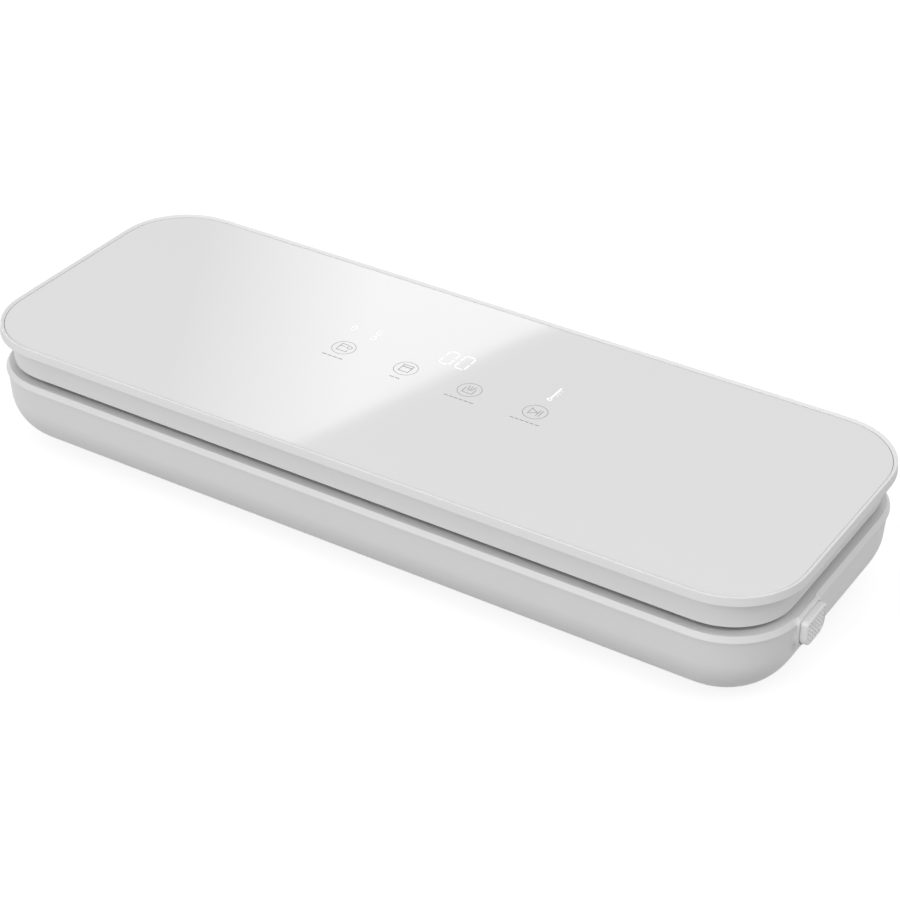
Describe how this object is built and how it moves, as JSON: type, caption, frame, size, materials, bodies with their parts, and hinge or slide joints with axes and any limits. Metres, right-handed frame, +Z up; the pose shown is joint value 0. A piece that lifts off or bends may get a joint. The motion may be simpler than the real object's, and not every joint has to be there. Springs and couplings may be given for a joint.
{
  "type": "vacuum sealer",
  "caption": "Slim countertop bag sealer: hinged lid with a glass touch panel over a vacuum trough and heated sealing bar, with an end release button.",
  "frame": {"origin": "middle of the overall length and depth, on the surface that the feet stand on", "axes": "+X along the body towards the end with the release button, +Y from the front edge to the hinge side, +Z up"},
  "size_m": [0.3925, 0.145, 0.0585],
  "materials": {
    "shell_white": "fine satin moulded",
    "deck_white": "satin moulded",
    "frame_white": "smooth moulded",
    "glass_white": "back-painted glass, polished",
    "foam_grey": "closed-cell foam",
    "bar_tan": "heat-resistant laminate",
    "strip_steel": "rolled",
    "tape_brown": "woven, non-stick",
    "brass": "stamped",
    "grey_plastic": "moulded",
    "dark_plastic": "moulded",
    "hose_clear": "translucent silicone",
    "steel": "machined",
    "zinc": "bright",
    "black_rubber": "matt",
    "grey_rubber": "matt",
    "board_green": "solder resist",
    "board_white": "solder resist",
    "ferrite": "sintered",
    "coil_yellow": "taped",
    "can_blue": "sleeved",
    "relay_blue": "moulded",
    "fin_grey": "anodised",
    "terminal_green": "moulded",
    "silicone_grey": "satin silicone",
    "ribbon": "polyimide film",
    "button_white": "satin moulded"
  },
  "bodies": {
    "base": {"base_shell": "shell_white", "base_deck": "deck_white", "lower_gasket": "foam_grey", "sealing_bar": "bar_tan", "heating_strip": "strip_steel", "release_tape": "tape_brown", "strip_clamps": "brass", "suction_nozzle": "grey_plastic", "suction_hose": "hose_clear", "pump_head": "dark_plastic", "pump_motor": "steel", "pump_mounts": "black_rubber", "vent_valve": "dark_plastic", "pressure_sensor": "board_green", "power_board": "board_green", "transformer_core": "ferrite", "transformer_coil": "coil_yellow", "capacitors": "can_blue", "relay": "relay_blue", "heat_sink": "fin_grey", "mains_terminal": "terminal_green", "lid_switch": "dark_plastic", "cable_gland": "grey_rubber", "feet": "grey_rubber", "base_screws": "zinc", "board_screws": "zinc", "return_spring": "steel"},
    "lid": {"lid_frame": "frame_white", "glass_panel": "glass_white", "glass_tape": "dark_plastic", "lid_shell": "shell_white", "upper_gasket": "foam_grey", "press_strip": "silicone_grey", "latch_hooks": "grey_plastic", "touch_board": "board_white", "touch_springs": "steel", "display_module": "dark_plastic", "indicator_lights": "grey_plastic", "ribbon_cable": "ribbon", "lid_screws": "zinc", "hinge_pins": "steel"},
    "release": {"latch_bar": "zinc", "release_button": "button_white"},
    "pump_rotor": {"pump_crank": "steel"}
  },
  "joints": [
    {"name": "lid_hinge", "type": "hinge", "parent": "base", "child": "lid", "pos_m": [-0.00125, 0.062, 0.044], "axis": [-1, 0, 0], "range_deg": [0, 65]},
    {"name": "release_slide", "type": "slide", "parent": "base", "child": "release", "axis": [-1, 0, 0], "range_m": [0, 0.0025], "stiffness_N_per_m": 800, "springref_m": -0.002, "deforming": ["return_spring"]},
    {"name": "pump_spin", "type": "hinge", "parent": "base", "child": "pump_rotor", "pos_m": [0.03275, 0.035, 0.0188], "axis": [1, 0, 0], "continuous": true}
  ]
}
